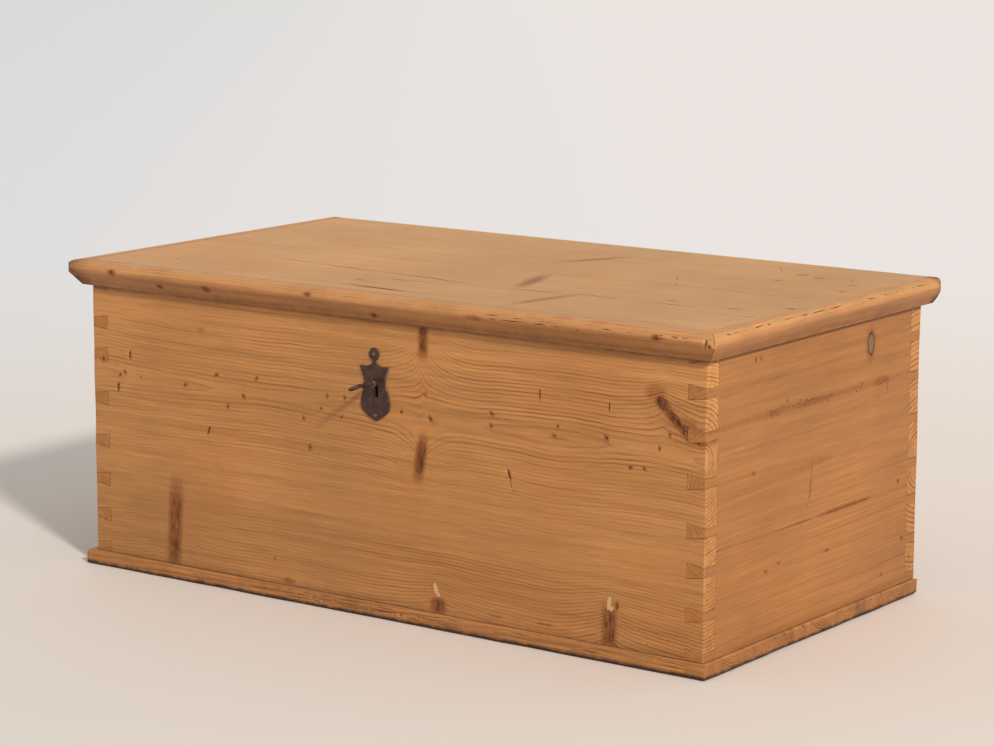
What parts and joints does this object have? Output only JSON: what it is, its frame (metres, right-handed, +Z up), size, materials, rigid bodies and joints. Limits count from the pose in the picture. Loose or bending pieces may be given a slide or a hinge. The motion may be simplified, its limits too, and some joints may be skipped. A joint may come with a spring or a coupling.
{
  "type": "trunk",
  "caption": "Dovetailed plank chest for linen or blankets, with a nosed overhanging lid on strap hinges and an iron chest lock worked by a pipe key.",
  "frame": {"origin": "on the floor, at the centre of the rectangle that the four walls make", "axes": "+X along the front from left to right, +Y from the front to the back, +Z up"},
  "size_m": [1.083, 0.6205, 0.4456],
  "materials": {
    "base_pine": "old stained pine, worn and dusty",
    "side_pine": "old waxed pine, orange brown",
    "front_pine": "old waxed pine with strong figure and knots",
    "lid_pine": "old waxed pine, paler and worn",
    "moulding_pine": "old waxed pine with worm holes",
    "hinge_iron": "dark forged iron",
    "screw_iron": "dark iron",
    "nail_iron": "dark forged iron",
    "escutcheon_iron": "dark iron sheet with worn edges",
    "lock_iron": "dark iron, filed bright where it rubs",
    "key_iron": "rusty brown iron"
  },
  "bodies": {
    "chest": {"bottom_front_plank": "base_pine", "bottom_middle_plank": "base_pine", "bottom_back_plank": "base_pine", "bottom_nail_1": "nail_iron", "bottom_nail_2": "nail_iron", "bottom_nail_3": "nail_iron", "bottom_nail_4": "nail_iron", "bottom_nail_5": "nail_iron", "bottom_nail_6": "nail_iron", "bottom_nail_7": "nail_iron", "bottom_nail_8": "nail_iron", "bottom_nail_9": "nail_iron", "bottom_nail_10": "nail_iron", "left_side_lower_plank": "side_pine", "left_side_upper_plank": "side_pine", "right_side_lower_plank": "side_pine", "right_side_upper_plank": "side_pine", "front_board": "front_pine", "back_board": "side_pine", "left_hinge_back_leaf": "hinge_iron", "right_hinge_back_leaf": "hinge_iron", "left_hinge_pin": "hinge_iron", "right_hinge_pin": "hinge_iron", "back_leaf_screw_1": "screw_iron", "back_leaf_screw_2": "screw_iron", "back_leaf_screw_3": "screw_iron", "back_leaf_screw_4": "screw_iron", "escutcheon": "escutcheon_iron", "escutcheon_upper_nail": "nail_iron", "escutcheon_lower_nail": "nail_iron", "lock_plate": "lock_iron", "lock_screw_1": "screw_iron", "lock_screw_2": "screw_iron", "lock_screw_3": "screw_iron", "lock_screw_4": "screw_iron", "drill_pin": "lock_iron", "left_bolt_guide": "lock_iron", "right_bolt_guide": "lock_iron", "bolt_spring": "lock_iron"},
    "lid": {"lid_front_board": "lid_pine", "lid_back_board": "lid_pine", "lid_front_moulding": "moulding_pine", "lid_left_moulding": "moulding_pine", "lid_right_moulding": "moulding_pine", "left_hinge_strap": "hinge_iron", "right_hinge_strap": "hinge_iron", "strap_screw_1": "screw_iron", "strap_screw_2": "screw_iron", "strap_screw_3": "screw_iron", "strap_screw_4": "screw_iron", "strap_screw_5": "screw_iron", "strap_screw_6": "screw_iron", "lid_staple": "lock_iron", "staple_screw_1": "screw_iron", "staple_screw_2": "screw_iron"},
    "key": {"key": "key_iron"},
    "bolt": {"lock_bolt": "lock_iron"}
  },
  "joints": [
    {"name": "lid_hinge", "type": "hinge", "parent": "chest", "child": "lid", "pos_m": [0, 0.275, 0.4133], "axis": [-1, 0, 0], "range_deg": [0, 105]},
    {"name": "key_turn", "type": "hinge", "parent": "chest", "child": "key", "pos_m": [-0.0045, -0.275, 0.323], "axis": [0, 1, 0], "range_deg": [0, 180]},
    {"name": "bolt_slide", "type": "slide", "parent": "chest", "child": "bolt", "axis": [1, 0, 0], "range_m": [0, 0.012]}
  ],
  "couplings": [
    {"joint": "key_turn", "follows": "bolt_slide", "rad_per_m": 261.8}
  ]
}
